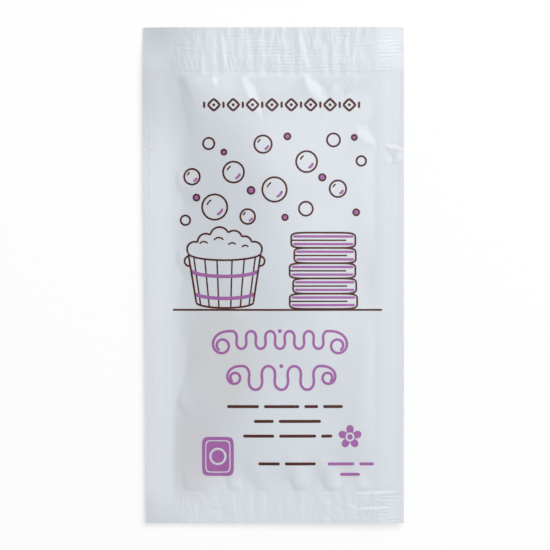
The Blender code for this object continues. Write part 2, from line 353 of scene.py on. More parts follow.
# %% [markdown]
# The marks of the jaws
#
# The jaws have a fine knurl like a file's, which presses ribs under a millimetre apart into the end bands.
# It bites and misses in patches, and at the right corners the ribs break up. Relief like this could be bump,
# but a printed or exported model shows only what is in the mesh, so it is in the mesh.

# %% The knurl and the streaks
BAND_EDGE = 0.5 * MM  # how far the knurl and the crinkles take to set in
RIB_PITCH = 0.8 * MM
RIB_DEPTH = 0.024 * MM
RIB_BITE = Patches((3.2 * MM, 1.7 * MM), 21, 0.35, 1.7, 0.0, 1.6)
RIB_WANDER = Patches((2.8 * MM, 1.6 * MM), 23, swing=0.24 * MM)  # how far ribs stray from even places
RIB_BREAK = Patches((1.7 * MM, 1.1 * MM), 24, 0.6, 1.2, 0.1)
FOOT_KNURL = 0.55  # the foot band is pressed more faintly than the head band
LEFT_BITE = 0.6
RIGHT_BITE = 1.0
RIGHT_BITE_SWING = 1.3
RIGHT_START = 0.4  # the right bite starts this share of the right band inside it

STREAKS = Patches((0.5 * MM, 24.0 * MM), 22)
STREAK_DEPTH = 0.020 * MM
STREAK_REACH = 3.0 * MM  # the streaks of the side bands are deepest this near to the edge
STREAK_LEAST = 0.3


def in_ends(x, y):
    """1 on the head and foot bands, 0 elsewhere, with a short smooth step."""
    return smooth((y - BELLY_HEAD) / BAND_EDGE) + smooth((BELLY_FOOT - y) / BAND_EDGE)


def ribs(x, y):
    """The knurl: a cosine of y across the end bands, deeper where it bites and towards the corners."""
    bite = patchy(x, y, RIB_BITE)
    left = LEFT_BITE * smooth((BELLY_LEFT - x) / LEFT_BAND)
    right = (RIGHT_BITE + RIGHT_BITE_SWING * bite) * patchy(x, y, RIB_BREAK)
    right = right * smooth((x - BELLY_RIGHT) / RIGHT_BAND + RIGHT_START)
    depth = np.where(y < 0, FOOT_KNURL, 1.0) * RIB_DEPTH * (bite + left + right) * in_ends(x, y)
    return depth / 2 * np.cos(2 * np.pi * (y + patchy(x, y, RIB_WANDER)) / RIB_PITCH)


def streaks(x, y):
    """Fine lines along the side bands: noise that is drawn out along y, deepest near to the edges."""
    sides = smooth((BELLY_LEFT - x) / BAND_EDGE) + smooth((x - BELLY_RIGHT) / BAND_EDGE)
    outer = STREAK_LEAST + (1 - STREAK_LEAST) * smooth((np.abs(x) - WIDTH / 2) / STREAK_REACH + 1)
    return STREAK_DEPTH * patchy(x, y, STREAKS) * sides * outer * (1 - in_ends(x, y))


def pressed(x, y):
    """All marks of the jaws."""
    return ribs(x, y) + streaks(x, y)


# %% [markdown]
# Crinkles and wrinkles
#
# Where a band had too much film, it crinkles into sharp little ridges that run along the pack, and the film
# tears into a few more at the tips of the slits. A ridge is where a smooth field crosses zero, once its sign
# is taken away. The belly only has soft wrinkles, and one broad flank that drops to the left band.

# %% Crinkles, wrinkles and the flank
CRINKLE_HEIGHT = 0.042 * MM
CRINKLE_MEAN = 0.75  # keeps the crinkles' average height near zero
CRINKLE_BUNCHES = Patches((6.5 * MM, 9.0 * MM), 15, 0.8, 0.7)
CRINKLES_OVER_LEFT = 0.4  # the share of the left band that the crinkles reach over
CRINKLES_OVER_RIGHT = 0.6
# Layers of crinkles: length across and along in mm, slant, share of the height, and a seed
CRINKLES = ((2.3, 5.0, 0.08, 0.55, 11), (1.25, 3.4, -0.16, 0.8, 12), (0.85, 1.5, 0.22, 0.42, 13))

SLIT_FROM_HEAD = 28.1 * MM
SLIT_LENGTH = 2.5 * MM
SLIT_Y = LENGTH / 2 - SLIT_FROM_HEAD
SLIT_CRINKLES = Patches((0.9 * MM, 0.55 * MM), 14)
SLIT_CRINKLE_HEIGHT = 0.032 * MM
SLIT_CRINKLE_REACH = 2.4 * MM
LEFT_SLIT_SHARE = 0.4

WRINKLE_HEIGHT = 0.02 * MM
LARGE_WRINKLES = Patches((7.0 * MM, 7.0 * MM), 31)
SMALL_WRINKLES = Patches((2.8 * MM, 3.5 * MM), 32, swing=0.35)
WELD_SMOOTHS = 0.5  # the share of the wrinkles that the weld takes away on the end bands

FLANK_FROM = (-22.4 * MM, 46.5 * MM)
FLANK_TO = (-18.0 * MM, 26.0 * MM)
FLANK_FADE = 0.45
FLANK_SLOPE = 0.20
FLANK_REACH = 3.4 * MM
FLANK_BREADTH = 14.0 * MM


def slit_crinkles(x, y):
    """Noise round the tip of each slit, times exp(-(distance / reach)^2)."""
    from_tip = np.hypot(np.abs(x) - WIDTH / 2 + SLIT_LENGTH, y - SLIT_Y) / SLIT_CRINKLE_REACH
    share = np.where(x < 0, LEFT_SLIT_SHARE, 1.0)
    return SLIT_CRINKLE_HEIGHT * share * patchy(x, y, SLIT_CRINKLES) * np.exp(-(from_tip**2))


def crinkles(x, y):
    """Slanting random layers on the end bands, pinched into ridges as 1 - 2 |noise|, in bunches, and the
    crinkles at the slits."""
    layers = 0.0
    for across, along, slant, share, seed in CRINKLES:
        field = noise((x + slant * y) / (across * MM), y / (along * MM), seed)
        layers = layers + share * (CRINKLE_MEAN - 2 * np.abs(field))
    inner = smooth((x - BELLY_LEFT) / LEFT_BAND + CRINKLES_OVER_LEFT)
    inner = inner * smooth((BELLY_RIGHT - x) / RIGHT_BAND + CRINKLES_OVER_RIGHT)
    ends = CRINKLE_HEIGHT * layers * patchy(x, y, CRINKLE_BUNCHES) * inner * in_ends(x, y)
    return ends + slit_crinkles(x, y)


def wrinkles(x, y):
    """Soft waves of the whole film, in two sizes, and fainter on the end bands."""
    waves = patchy(x, y, LARGE_WRINKLES) + patchy(x, y, SMALL_WRINKLES)
    return WRINKLE_HEIGHT * waves * (1 - WELD_SMOOTHS * in_ends(x, y))


def flank(x, y):
    """The broad flank that drops to the left band at the belly's head end: slope r tanh(d / r) times
    exp(-d / b), where d is the distance right of a slanting line, faded along the line."""
    run_x, run_y = FLANK_TO[0] - FLANK_FROM[0], FLANK_TO[1] - FLANK_FROM[1]
    length = np.hypot(run_x, run_y)
    along = ((x - FLANK_FROM[0]) * run_x + (y - FLANK_FROM[1]) * run_y) / length**2
    right = np.clip(((x - FLANK_FROM[0]) * -run_y + (y - FLANK_FROM[1]) * run_x) / length, 0, None)
    steep = FLANK_SLOPE * FLANK_REACH * np.tanh(right / FLANK_REACH) * np.exp(-right / FLANK_BREADTH)
    return steep * (1 - smooth((along - FLANK_FADE) / (1 - FLANK_FADE))) * inside(x, y, DIMPLE_START)


def front(x, y):
    """Height of the finished front web."""
    return topside(x, y) + flank(x, y) + pressed(x, y) + crinkles(x, y) + wrinkles(x, y)


def back(x, y):
    """Height of the finished back web: the front's crinkles run through both webs where they are welded, and
    the jaws press both sides."""
    return (band_height(x, y) + crinkles(x, y) - pressed(x, y)) * off_table(x, y)


sample = np.meshgrid(np.linspace(BELLY_LEFT, BELLY_RIGHT, 240), np.linspace(BELLY_HEAD, LENGTH / 2, 60))
print(f"the head band's fine relief is {np.ptp(pressed(*sample) + crinkles(*sample)) / MM:.2f} mm deep")

# %% [markdown]
# From a grid to a closed body
#
# Film, ink and label shapes are all the same kind of thing here: a thin sheet with an upper and a lower face
# and a rim between them. One function makes that closed body from any grid of points. A mask leaves cells
# out, and the rim then also runs round the hole.

# %% A sheet with a rim
def closed_sheet(x, y, top, bottom, keep=None, looped=False):
    """Vertices and faces of a thin closed body over a grid of points.

    Every kept cell gives a face of the upper side and one of the lower side. Every edge that only one kept
    cell uses gives a face of the rim. A looped grid joins its last row to its first."""
    rows, columns = x.shape
    count = rows * columns
    number = np.arange(count).reshape(rows, columns)
    if looped:
        number = np.vstack([number, number[:1]])
    cells = np.stack([number[:-1, :-1], number[:-1, 1:], number[1:, 1:], number[1:, :-1]], axis=-1)
    cells = cells.reshape(-1, 4) if keep is None else cells[keep]
    edges = np.stack([cells, np.roll(cells, -1, axis=-1)], axis=-1).reshape(-1, 2)
    forward = edges[:, 0] * count + edges[:, 1]
    backward = edges[:, 1] * count + edges[:, 0]
    rim = edges[~np.isin(forward, backward)]
    walls = np.stack([rim[:, 0] + count, rim[:, 1] + count, rim[:, 1], rim[:, 0]], axis=-1)
    faces = np.concatenate([cells, cells[:, ::-1] + count, walls])
    upper = np.stack([x.ravel(), y.ravel(), top.ravel()], axis=1)
    lower = np.stack([x.ravel(), y.ravel(), bottom.ravel()], axis=1)
    used, faces = np.unique(faces, return_inverse=True)
    return np.concatenate([upper, lower])[used], faces.reshape(-1, 4)


def joined(bodies):
    """Many bodies as one: each body's vertex numbers start where the last one's ended."""
    starts = np.cumsum([0] + [len(vertices) for vertices, _ in bodies[:-1]])
    vertices = np.concatenate([vertices for vertices, _ in bodies])
    faces = np.concatenate([faces + start for (_, faces), start in zip(bodies, starts)])
    return vertices, faces


def make_piece(name, body, material, sharp_above=40.0):
    """A mesh object from vertices and faces, smooth but for edges sharper than an angle in degrees."""
    vertices, faces = body
    mesh = bpy.data.meshes.new(name)
    mesh.vertices.add(len(vertices))
    mesh.vertices.foreach_set("co", vertices.astype(np.float32).ravel())
    mesh.loops.add(faces.size)
    mesh.loops.foreach_set("vertex_index", faces.astype(np.int32).ravel())
    mesh.polygons.add(len(faces))
    mesh.polygons.foreach_set("loop_start", np.arange(0, faces.size, 4, dtype=np.int32))
    mesh.update(calc_edges=True)
    mesh.validate()
    mesh.shade_smooth()
    mesh.set_sharp_from_angle(angle=np.radians(sharp_above))
    mesh.materials.append(material)
    piece = bpy.data.objects.new(name, mesh)
    bpy.context.scene.collection.objects.link(piece)
    print(f"{name}: {len(vertices)} vertices, {2 * len(faces)} triangles")
    return piece


# %% [markdown]
# Materials as arithmetic
#
# A node tree is a formula drawn as boxes. It is easier to read as a formula, so one small class wraps a
# socket and lets Python's own signs add the Math nodes. Every other node comes from its one method.

# %% A socket that can be added and multiplied
class Wire:
    """An output socket. Sums, differences and products with numbers or other wires add Math nodes."""

    def __init__(self, socket):
        self.socket = socket

    def node(self, kind, settings=None, **inputs):
        """Adds a node to the wire's tree, with its settings made first, and gives its outputs by name. An
        input is named by its socket, with spaces as underscores, or _0, _1 by its number."""
        node = self.socket.id_data.nodes.new(kind)
        for name, value in (settings or {}).items():
            setattr(node, name, value)
        for name, value in inputs.items():
            key = int(name[1:]) if name.startswith("_") else name.replace("_", " ")
            if isinstance(value, Wire):
                value.into(node.inputs[key])
            else:
                node.inputs[key].default_value = value
        return {socket.name: Wire(socket) for socket in node.outputs if socket.enabled}

    def into(self, socket):
        """Links the wire to an input."""
        self.socket.id_data.links.new(self.socket, socket)

    def math(self, operation, first, second):
        """The result of a Math node."""
        return self.node("ShaderNodeMath", {"operation": operation}, _0=first, _1=second)["Value"]

    def __add__(self, other):
        return self.math("ADD", self, other)

    __radd__ = __add__

    def __mul__(self, other):
        return self.math("MULTIPLY", self, other)

    __rmul__ = __mul__

    def __abs__(self):
        return self.math("ABSOLUTE", self, 0.0)

    def __sub__(self, other):
        return self.math("SUBTRACT", self, other)

    def __rsub__(self, other):
        return self.math("SUBTRACT", other, self)


def new_material(name):
    """An empty material, its shader and a wire from the shader, to add nodes with."""
    material = bpy.data.materials.new(name)
    material.use_nodes = True
    shader = material.node_tree.nodes["Principled BSDF"]
    return material, shader, Wire(shader.outputs["BSDF"])


def split(place):
    """The X, Y and Z of a vector."""
    axes = place.node("ShaderNodeSeparateXYZ", Vector=place)
    return axes["X"], axes["Y"], axes["Z"]


def ramp(value, start, end):
    """0 before start, 1 past end, and a smooth step between them."""
    settings = {"interpolation_type": "SMOOTHSTEP"}
    return value.node("ShaderNodeMapRange", settings, Value=value, From_Min=start, From_Max=end)["Result"]


def speckle(place, size, detail=2.0):
    """Blender's noise from 0 to 1, with spots of a size in metres."""
    return place.node("ShaderNodeTexNoise", Vector=place, Scale=1 / size, Detail=detail)["Fac"]


def blend(share, first, second):
    """A colour between two others."""
    return share.node("ShaderNodeMix", {"data_type": "RGBA"}, _0=share, _6=first, _7=second)["Result"]


def between(value, start, end, edge):
    """1 between two limits and 0 outside them, with a smooth step of a width just inside each."""
    return ramp(value, start, start + edge) * ramp(value, end, end - edge)


def oval(x, y, middle, reach):
    """1 in the middle of an oval and 0 outside it: a smooth step of 1 - (x / a)^2 - (y / b)^2."""
    off_x = (x - middle[0] * MM) * (1 / (reach[0] * MM))
    off_y = (y - middle[1] * MM) * (1 / (reach[1] * MM))
    return ramp(off_x * off_x + off_y * off_y, 1.0, 0.0)


# %% [markdown]
# The gloss of a laminate
#
# The film's gloss is never even: its roughness changes in patches, tiny dents cover it all, and the crinkles
# of the end bands go on to a size too fine for the mesh. The bump adds only those. The ink is printed under
# the same gloss, so film and ink share this finish.

# %% Gloss, dents and the finest crinkles
GLOSS_PATCH = 6.0 * MM
GLOSS_SWING = 0.10
DENT_SIZE = 0.73 * MM
DENT_DEPTH = 0.005 * MM
FINE_CRINKLES = (  # size across and along, slant and height
    (1.15 * MM, 4.2 * MM, 0.06, 0.056 * MM),
    (0.75 * MM, 2.2 * MM, -0.14, 0.020 * MM),
)
FINE_BUNCH = 6.0 * MM
FINE_BUNCH_STEP = (0.25, 0.7)
FINE_BUNCH_LEAST = 0.2
FINE_OVER_LEFT = 0.6  # the share of the left band that the finest crinkles reach over
FOOT_SHARE = 0.6  # the foot band is crinkled less finely than the head band


def fine_crinkles(place):
    """Height in metres of the finest crinkles of the end bands: |2 noise - 1| of stretched places."""
    x, y, _ = split(place)
    total = 0.0
    for across, along, slant, height in FINE_CRINKLES:
        slanting = (x + slant * y) * (1 / across)
        stretched = place.node("ShaderNodeCombineXYZ", X=slanting, Y=y * (1 / along))["Vector"]
        total = total + height * abs(2 * speckle(stretched, 1.0, 0.0) - 1)
    in_head = ramp(y, BELLY_HEAD, BELLY_HEAD + BAND_EDGE)
    in_foot = FOOT_SHARE * ramp(y, BELLY_FOOT, BELLY_FOOT - BAND_EDGE)
    bunch = ramp(speckle(place, FINE_BUNCH, 0.0), *FINE_BUNCH_STEP) + FINE_BUNCH_LEAST
    inner = between(x, BELLY_LEFT - FINE_OVER_LEFT * LEFT_BAND, WIDTH / 2, LEFT_BAND)
    return total * (in_head + in_foot) * bunch * inner


def laminate(shader, place, colour, roughness, ior):
    """Gives a shader its colour, a roughness that changes in patches, and crinkles and dents as bump."""
    colour.into(shader.inputs["Base Color"])
    patches = speckle(place, GLOSS_PATCH)
    (roughness + GLOSS_SWING * (patches - 0.5)).into(shader.inputs["Roughness"])
    height = fine_crinkles(place) + DENT_DEPTH * speckle(place, DENT_SIZE)
    bump = place.node("ShaderNodeBump", Strength=1.0, Distance=1.0, Height=height)
    bump["Normal"].into(shader.inputs["Normal"])
    shader.inputs["IOR"].default_value = ior


# %% [markdown]
# White film over liquid
#
# The laminate is white polyester over a pale sealing layer. Two webs welded together look a little whiter
# than one web over liquid, which lets a shade of grey through, and part of this step is painted shade. On
# top of it lie ovals of painted shade and painted light with soft edges: darker left of the belly's middle,
# low on the left and along its right side, lighter low in the middle, and darker at the left corners of the
# head and the foot. Object coordinates place them, because the piece never moves off its origin.

# %% The film's material
WHITE = (1.0, 1.0, 1.0, 1.0)
FILM_ON_BANDS = (0.70, 0.74, 0.79, 1.0)
# Over the liquid the film is a shade darker: partly the liquid showing through, partly painted shade
FILM_OVER_LIQUID = (0.645, 0.685, 0.735, 1.0)
LIQUID_EDGE = 6.0 * MM
EDGE_SPREAD = 1.6 * MM  # the shade starts this far out on the bands
EDGE_WANDER = 6.0 * MM
WANDER_LENGTH = 15.0 * MM
SHADE_EDGE = 1.6 * MM  # the shades end at the belly's left edge, within this width
# Painted shade and painted light on the belly: ovals that darken it left of its middle, low on the left and
# along its right side, and lighten it low in the middle
PAINTED_SHADES = (  # middle and reach along x and y in mm, and the colour there
    ((-11.0, -19.0), (11.5, 18.0), (0.645, 0.665, 0.685, 1.0)),
    ((-19.5, -40.0), (9.5, 14.0), (0.605, 0.615, 0.65, 1.0)),
    ((3.0, -37.0), (15.0, 18.0), (0.695, 0.74, 0.79, 1.0)),
    ((19.0, -6.0), (5.0, 28.0), (0.615, 0.655, 0.70, 1.0)),
)
# Painted shade on the left corners of the head and the foot, bands included
PAINTED_CORNER_SHADES = (
    ((-31.0, 58.0), (18.0, 36.0), (0.57, 0.605, 0.645, 1.0)),
    ((-32.0, -58.0), (14.0, 10.0), (0.61, 0.65, 0.69, 1.0)),
)
FRONT_STEP = (0.2 * LEFT_LIFT, 0.5 * LEFT_LIFT)  # heights between which the back goes over into the front
MOTTLE = 0.02
MOTTLE_SIZE = 9.0 * MM
FILM_ROUGHNESS = 0.30
FILM_IOR = 1.5


def film_material():
    """White film: a shade darker over the liquid, partly as painted shade, with ovals of painted shade and
    painted light on top, and faintly mottled.
    """
    material, shader, start = new_material("white_film")
    place = start.node("ShaderNodeTexCoord")["Object"]
    x, y, z = split(place)
    wandering = x + EDGE_WANDER * (speckle(place, WANDER_LENGTH, 1.0) - 0.5)
    from_left = ramp(wandering, BELLY_LEFT - EDGE_SPREAD, BELLY_LEFT - EDGE_SPREAD + LIQUID_EDGE)
    across = from_left * ramp(x, BELLY_RIGHT, BELLY_RIGHT - LIQUID_EDGE)
    along = between(y, BELLY_FOOT, BELLY_HEAD, LIQUID_EDGE)
    front_side = ramp(z, *FRONT_STEP)
    # a shade darker over the liquid, partly the liquid showing through and partly painted shade
    colour = blend(across * along * front_side, FILM_ON_BANDS, FILM_OVER_LIQUID)
    off_band = front_side * ramp(x, BELLY_LEFT - SHADE_EDGE / 2, BELLY_LEFT + SHADE_EDGE / 2)
    # ovals of painted shade and painted light on the belly, then painted shade at the left corners
    for middle, reach, shade in PAINTED_SHADES:
        colour = blend(oval(x, y, middle, reach) * off_band, colour, shade)
    for middle, reach, shade in PAINTED_CORNER_SHADES:
        colour = blend(oval(x, y, middle, reach) * front_side, colour, shade)
    colour = blend(MOTTLE * speckle(place, MOTTLE_SIZE), colour, WHITE)
    laminate(shader, place, colour, FILM_ROUGHNESS, FILM_IOR)
    return material


white_film = film_material()
print(f"{white_film.name}: {len(white_film.node_tree.nodes)} nodes")

# %% [markdown]
# The film itself
#
# Both webs lie on one grid, so their rim closes by itself. An even grid fine enough for the knurl would be
# millions of faces, so the lines lie close only where the relief is fine: on the bands, by the slits and by
# the folds. The nearest lines move onto the slits, whose cells are left out.

# %% One grid for both webs
RIB_CELL = 0.2 * MM
SIDE_CELL = 0.24 * MM
SLIT_CELL = 0.27 * MM
FOLD_CELL = 0.45 * MM
FOLD_REACH = 12.0 * MM  # the folds at the head and foot lie within this distance of the bands
BELLY_CELL = 0.8 * MM
ACROSS_CELL = 0.38 * MM
SLIT_GAP = 0.2 * MM
FINE_STEPS = 4000


def stations(start, end, gap, needed):
    """Grid lines whose gaps follow a function of the place. The lines nearest to the needed places are moved
    onto them."""
    fine = np.linspace(start, end, FINE_STEPS + 1)
    cells = np.concatenate([[0], np.cumsum(np.diff(fine) / gap((fine[1:] + fine[:-1]) / 2))])
    lines = np.interp(np.linspace(0, cells[-1], int(np.ceil(cells[-1])) + 1), cells, fine)
    for place in needed:
        lines[np.argmin(np.abs(lines - place))] = place
    return lines


def row_gap(y):
    """Fine on the end bands, a little coarser by the folds and the slits, and coarse over the belly."""
    from_band = np.minimum(BELLY_HEAD - y, y - BELLY_FOOT)
    by_slit = np.abs(y - SLIT_Y) < 1.5 * SLIT_CRINKLE_REACH
    gap = np.where(from_band < FOLD_REACH, FOLD_CELL, BELLY_CELL)
    return np.where(from_band < 0, RIB_CELL, np.where(by_slit, SLIT_CELL, gap))


def column_gap(x):
    """Fine on the side bands for their streaks, and coarser between them."""
    return np.where((x < BELLY_LEFT) | (x > BELLY_RIGHT), SIDE_CELL, ACROSS_CELL)


def sachet_film():
    """Both webs on one grid, with the cells inside the two tear slits left out."""
    slit_lines = (SLIT_Y - SLIT_GAP / 2, SLIT_Y + SLIT_GAP / 2)
    slit_tips = (-WIDTH / 2 + SLIT_LENGTH, WIDTH / 2 - SLIT_LENGTH)
    columns = stations(-WIDTH / 2, WIDTH / 2, column_gap, slit_tips)
    rows = stations(-LENGTH / 2, LENGTH / 2, row_gap, slit_lines)
    x, y = np.meshgrid(columns, rows)
    middle_x, middle_y = np.meshgrid((columns[1:] + columns[:-1]) / 2, (rows[1:] + rows[:-1]) / 2)
    in_slit = (np.abs(middle_y - SLIT_Y) < SLIT_GAP / 2) & (np.abs(middle_x) > WIDTH / 2 - SLIT_LENGTH)
    return closed_sheet(drawn_in(x, y), y, front(x, y), back(x, y), keep=~in_slit)


film = make_piece("sachet_film", sachet_film(), white_film)
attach(film, "root")
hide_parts("sachet")

# %% [markdown]
# Ink
#
# The print is line work in two inks. It could be masks in the film's shader, but every shape would cost a row
# of nodes and would blur when it is baked. Here each line is a ribbon of ink 0.03 mm thick that lies on the
# film and follows its folds, because it takes its height from the same function. A path and a half width say
# all about a ribbon, and a spot or a bar is just a short wide one.

# %% Ribbons of ink
INK_LIFT = 0.05 * MM
INK_THICKNESS = 0.03 * MM
INK_STEP = 0.001 * MM  # a shape of a higher order lies this much higher, so it covers those below
INK_CELL = 0.30 * MM
SHARP_END = 0.02 * MM
LINE = 0.43  # the print's places and widths are in millimetres from the pack's middle
THIN_LINE = 0.8 * LINE


def on_film(x, y, order, looped=False):
    """A thin closed body over a grid of points in the plane, laid on the front web."""
    top = front(x, y) + INK_LIFT + INK_STEP * order
    return closed_sheet(drawn_in(x, y), y, top, top - INK_THICKNESS, looped=looped)


def ribbon(centre, half, closed=False, order=0):
    """A body along a path: at each station, points run from the left edge to the right edge of the way."""
    if closed:
        ahead = np.roll(centre, -1, axis=0) - np.roll(centre, 1, axis=0)
    else:
        ahead = np.gradient(centre, axis=0)
    ahead /= np.hypot(ahead[:, :1], ahead[:, 1:])
    rightward = np.stack([ahead[:, 1], -ahead[:, 0]], axis=1)
    across = np.linspace(-1, 1, max(2, int(np.ceil(2 * half.max() / INK_CELL))) + 1)
    x = centre[:, :1] + rightward[:, :1] * half[:, None] * across
    y = centre[:, 1:] + rightward[:, 1:] * half[:, None] * across
    return on_film(x, y, order, looped=closed)


def run_along(path):
    """The distance from the start of a path to each of its points."""
    return np.concatenate([[0], np.cumsum(np.hypot(*np.diff(path, axis=0).T))])


def stroke(path, width=LINE, closed=False, order=0):
    """A line of even width with round ends: half width is sqrt(r^2 - (r - d)^2) at a distance d under r from
    an end."""
    path = np.asarray(path, float) * MM
    if closed:
        path = np.vstack([path, path[:1]])
    run = run_along(path)
    radius = width * MM / 2
    if closed:
        places = np.linspace(0, run[-1], max(12, int(run[-1] / INK_CELL)) + 1)[:-1]
        half = np.full(len(places), radius)
    else:
        cap = radius * (1 - np.cos(np.linspace(0, np.pi / 2, 5)[:-1]))
        inner = np.linspace(radius, run[-1] - radius, max(2, int(run[-1] / INK_CELL)))
        places = np.concatenate([cap, inner, run[-1] - cap[::-1]])
        from_end = np.clip(np.minimum(places, run[-1] - places) / radius, 0, 1)
        half = np.maximum(radius * np.sqrt(1 - (1 - from_end) ** 2), SHARP_END)
    centre = np.stack([np.interp(places, run, path[:, 0]), np.interp(places, run, path[:, 1])], axis=1)
    return ribbon(centre, half, closed, order)


def bar(x, y, length, width=LINE, order=0):
    """A straight level stroke that runs right from x."""
    return stroke([(x, y), (x + length, y)], width, order=order)


def circle(x, y, radius, start=0.0, end=360.0, squash=1.0):
    """Points of a circle or an arc of it, in degrees from +X, flattened by squash."""
    turn = np.radians(np.linspace(start, end, 73))
    turn = turn[:-1] if end - start == 360.0 else turn
    return np.stack([x + radius * np.cos(turn), y + squash * radius * np.sin(turn)], axis=1)


def spot(x, y, radius, order=0):
    """A disc: a level ribbon whose half width is sqrt(r^2 - d^2), with stations closer near its ends."""
    along = -np.cos(np.linspace(0, np.pi, 17))
    centre = np.stack([x + radius * along, np.full_like(along, y)], axis=1) * MM
    half = np.maximum(radius * MM * np.sqrt(np.clip(1 - along**2, 0, 1)), SHARP_END)
    return ribbon(centre, half, order=order)


# %% [markdown]
# Two inks
#
# Both inks lie on the film and follow its small dents and its crinkles, but shine less than it does. The
# brown is nearly black, and the violet is a flat mid tone. Printed ink is never quite even, so a little
# noise thins it.

# %% The inks' materials
BROWN = (0.052, 0.008, 0.006, 1.0)
BROWN_THIN = (0.085, 0.020, 0.016, 1.0)
VIOLET = (0.335, 0.112, 0.345, 1.0)
VIOLET_THIN = (0.395, 0.152, 0.410, 1.0)
INK_GRAIN = 0.9 * MM
INK_ROUGHNESS = 0.36
INK_IOR = 1.3


def ink_material(name, full, thin):
    """Ink that goes over from its full to its thin colour and back in fine spots."""
    material, shader, start = new_material(name)
    place = start.node("ShaderNodeTexCoord")["Object"]
    colour = blend(speckle(place, INK_GRAIN), full, thin)
    laminate(shader, place, colour, INK_ROUGHNESS, INK_IOR)
    return material


def make_print(name, shapes, material):
    """One piece of print from its shapes, riding on the pack."""
    piece = make_piece(name, joined(shapes), material, sharp_above=60.0)
    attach(piece, "root")
    return piece


brown_ink = ink_material("brown_ink", BROWN, BROWN_THIN)
violet_ink = ink_material("violet_ink", VIOLET, VIOLET_THIN)

# %% [markdown]
# A heading of diamonds
#
# A plain border of diamonds and dots heads the front. A diamond is the curve on which |x| and |y| add up to
# one size, with the corners a little eased, as a pen would draw it.

# %% The heading
HEADING_Y = 39.1
HEADING_MIDDLE = 1.9
HEADING_LINE = 0.52
DIAMONDS = 8
DIAMOND_PITCH = 4.45
DIAMOND_SIZE = 1.35
DIAMOND_POWER = 1.12
DOT_RADIUS = 0.34
UPRIGHT_HALF = 0.75


def diamond(x, y, size):
    """Closed points on |x|^n + |y|^n = size^n."""
    turn = np.radians(np.linspace(0, 360, 73))[:-1]
    cos, sin = np.cos(turn), np.sin(turn)
    reach = (np.abs(cos) ** DIAMOND_POWER + np.abs(sin) ** DIAMOND_POWER) ** (-1 / DIAMOND_POWER)
    return np.stack([x + size * reach * cos, y + size * reach * sin], axis=1)


heading = []
for number in range(DIAMONDS):
    centre_x = HEADING_MIDDLE + (number - (DIAMONDS - 1) / 2) * DIAMOND_PITCH
    edge = diamond(centre_x, HEADING_Y, DIAMOND_SIZE)
    heading.append(stroke(edge, HEADING_LINE, closed=True, order=number))
    heading.append(spot(centre_x, HEADING_Y, DOT_RADIUS, order=number))
for number in range(DIAMONDS + 1):
    centre_x = HEADING_MIDDLE + (number - DIAMONDS / 2) * DIAMOND_PITCH
    upright = [(centre_x, HEADING_Y - UPRIGHT_HALF), (centre_x, HEADING_Y + UPRIGHT_HALF)]
    heading.append(stroke(upright, HEADING_LINE, order=number))
make_print("heading_print", heading, brown_ink)

# %% [markdown]
# A wash tub on a shelf
#
# The picture is pen work: brown outlines of one width, with violet inside them. It stands on a shelf line. A
# stave tub is a cone, so every round of it is the same flattened half circle in another size, and one
# function of the share of its height draws the rim, the foot, the hoops and the ends of the staves.

# %% The shelf and the tub
SHELF_Y = -8.0
SHELF_LEFT = -23.5
SHELF_RIGHT = 25.0

TUB_X = -11.4
TUB_FOOT = -6.3
TUB_RIM = 5.0
TUB_FOOT_HALF = 6.6
TUB_RIM_HALF = 8.4
TUB_SQUASH = 0.19
STAVE_ANGLES = (212, 237, 258, 282, 303, 328)
HOOP_WIDTH = 0.8
HOOP_SHARES = (0.2, 0.66)
HOOP_ARC = (185, 355)
HANDLE_SHARE = 0.84
HANDLE_RADIUS = 1.15
HANDLE_HALF_TURN = 95


def tub_round(share, start=180.0, end=360.0):
    """Points of the tub's round at a share of its height, between two angles. The front half faces us."""
    half = TUB_FOOT_HALF + (TUB_RIM_HALF - TUB_FOOT_HALF) * share
    return circle(TUB_X, TUB_FOOT + (TUB_RIM - TUB_FOOT) * share, half, start, end, TUB_SQUASH)


def stave(angle):
    """The joint between two staves: straight from the foot to the rim, at an angle round the tub."""
    return [tub_round(share, start=angle)[0] for share in (0.0, 1.0)]


brown_picture = [bar(SHELF_LEFT, SHELF_Y, SHELF_RIGHT - SHELF_LEFT)]
brown_picture += [stroke(stave(angle), THIN_LINE) for angle in STAVE_ANGLES]
brown_picture += [stroke(stave(angle), order=3) for angle in (180, 360)]
brown_picture += [stroke(tub_round(share), order=4) for share in (0.0, 1.0)]
violet_picture = [stroke(tub_round(share, *HOOP_ARC), HOOP_WIDTH, order=2) for share in HOOP_SHARES]
for side, facing in ((0, 180), (-1, 0)):
    grip_x, grip_y = tub_round(HANDLE_SHARE)[side]
    handle = circle(grip_x, grip_y, HANDLE_RADIUS, facing - HANDLE_HALF_TURN, facing + HANDLE_HALF_TURN)
    brown_picture.append(stroke(handle, order=5))
print(f"shelf and tub: {len(brown_picture)} brown and {len(violet_picture)} violet lines")

# %% [markdown]
# Foam is a cloud: circles in a row of which only the upper outline shows. Each circle's arc starts where the
# one before it crosses it and ends where the next one does, and the outer ones end on the rim.

# %% The foam
FOAM = (  # x, y and radius of each circle, from left to right
    (-18.3, 5.9, 1.75),
    (-15.7, 7.6, 1.9),
    (-12.5, 8.8, 2.2),
    (-9.2, 8.3, 1.9),
    (-6.7, 7.3, 1.6),
    (-4.5, 5.9, 1.75),
)
FOAM_CURLS = ((-16.2, 6.6, 1.1), (-12.7, 7.3, 1.3), (-9.6, 6.4, 1.0), (-6.6, 5.9, 0.9))
CURL_ARC = (35, 150)


def crossing(first, second):
    """The upper point in which two circles cross: off the line between their middles by sqrt(r^2 - d^2)."""
    middle, other = np.array(first[:2]), np.array(second[:2])
    distance = np.hypot(*(other - middle))
    ahead = (other - middle) / distance
    along = (distance**2 + first[2] ** 2 - second[2] ** 2) / (2 * distance)
    off = np.sqrt(first[2] ** 2 - along**2)
    return middle + along * ahead + off * np.array([-ahead[1], ahead[0]])


